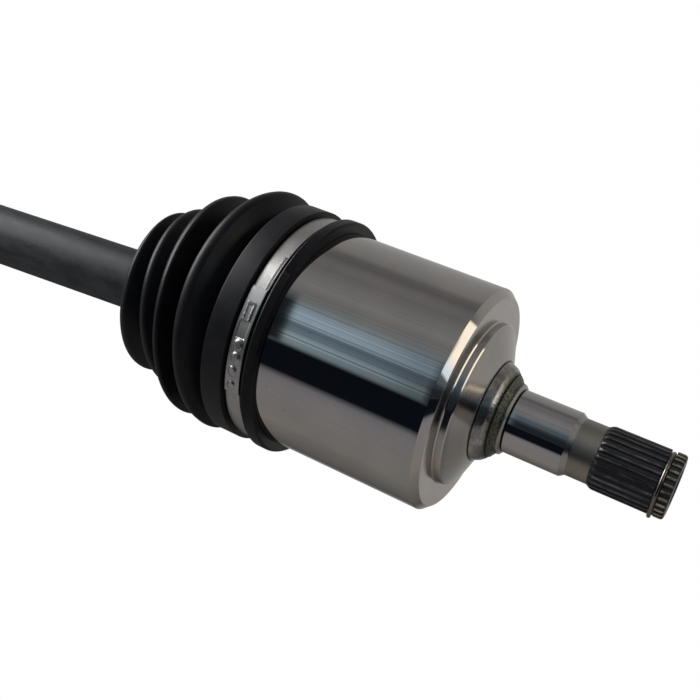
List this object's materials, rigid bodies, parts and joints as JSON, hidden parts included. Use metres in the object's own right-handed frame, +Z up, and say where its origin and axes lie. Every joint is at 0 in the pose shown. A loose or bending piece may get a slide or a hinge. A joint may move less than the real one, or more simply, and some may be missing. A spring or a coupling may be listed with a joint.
{
  "type": "drive shaft",
  "caption": "Front-axle drive shaft: a solid bar with a plunging tripod joint and a fixed ball joint, bellows boots, band clamps and splined stub ends.",
  "frame": {"origin": "middle of the inboard journal, on the inner housing's axis", "axes": "+X along the inner housing's axis towards its splines, +Z up, the bend lies in the XZ plane"},
  "size_m": [0.6346, 0.105, 0.1259],
  "materials": {
    "bar_paint": "satin black paint, lightly mottled",
    "ground_steel": "ground and polished bearing steel",
    "bearing_steel": "polished bearing steel",
    "forged_steel": "machined forging",
    "spring_steel": "dark spring steel wire",
    "clamp_steel": "satin stainless band",
    "boot_rubber": "satin black rubber"
  },
  "bodies": {
    "shaft": {"axle_bar": "bar_paint", "tripod_spider": "forged_steel", "spider_retaining_ring": "spring_steel", "inner_race": "bearing_steel", "race_retaining_ring": "spring_steel", "inner_boot_small_clamp": "clamp_steel", "outer_boot_small_clamp": "clamp_steel"},
    "lower_rollers": {"roller_inner_ring_front": "bearing_steel", "needle_set_front": "bearing_steel", "roller_inner_ring_rear": "bearing_steel", "needle_set_rear": "bearing_steel"},
    "upper_roller": {"roller_inner_ring_upper": "bearing_steel", "needle_set_upper": "bearing_steel"},
    "roller_ring_upper": {"roller_outer_ring_upper": "bearing_steel"},
    "roller_ring_front": {"roller_outer_ring_front": "bearing_steel"},
    "roller_ring_rear": {"roller_outer_ring_rear": "bearing_steel"},
    "inner_housing": {"inner_joint_housing": "ground_steel", "output_circlip": "spring_steel", "inner_boot_large_clamp": "clamp_steel", "inner_boot": "boot_rubber"},
    "cage": {"ball_cage": "forged_steel", "joint_balls": "bearing_steel"},
    "bell": {"outer_joint_bell": "forged_steel", "outer_boot": "boot_rubber", "outer_boot_large_clamp": "clamp_steel"}
  },
  "joints": [
    {"name": "inner_tilt", "type": "hinge", "parent": "shaft", "child": "lower_rollers", "pos_m": [-0.07158, 0, -0.01297], "axis": [0, 1, 0], "range_deg": [-19, 12], "deforming": ["inner_boot"]},
    {"name": "inner_plunge", "type": "slide", "parent": "lower_rollers", "child": "inner_housing", "axis": [1, 0, 0], "range_m": [-0.008, 0.016]},
    {"name": "upper_roller_travel", "type": "slide", "parent": "lower_rollers", "child": "upper_roller", "axis": [1, 0, 0], "range_m": [-0.0082, 0.0129]},
    {"name": "roller_spin_upper", "type": "hinge", "parent": "upper_roller", "child": "roller_ring_upper", "pos_m": [-0.07405, 0, 0.026], "axis": [0, 0, 1], "continuous": true},
    {"name": "roller_spin_front", "type": "hinge", "parent": "lower_rollers", "child": "roller_ring_front", "pos_m": [-0.07158, -0.02252, -0.013], "axis": [0, -0.866, -0.5], "continuous": true},
    {"name": "roller_spin_rear", "type": "hinge", "parent": "lower_rollers", "child": "roller_ring_rear", "pos_m": [-0.07158, 0.02252, -0.013], "axis": [0, 0.866, -0.5], "continuous": true},
    {"name": "outer_tilt", "type": "hinge", "parent": "shaft", "child": "bell", "pos_m": [-0.4716, 0, -0.02533], "axis": [0, 1, 0], "range_deg": [-40, 40], "deforming": ["outer_boot"]},
    {"name": "cage_tilt", "type": "hinge", "parent": "shaft", "child": "cage", "pos_m": [-0.4716, 0, -0.02533], "axis": [0, 1, 0], "range_deg": [-20, 20]}
  ],
  "couplings": [
    {"joint": "upper_roller_travel", "follows": "inner_tilt", "m_per_rad": -0.0385},
    {"joint": "cage_tilt", "follows": "outer_tilt", "ratio": 0.5}
  ]
}
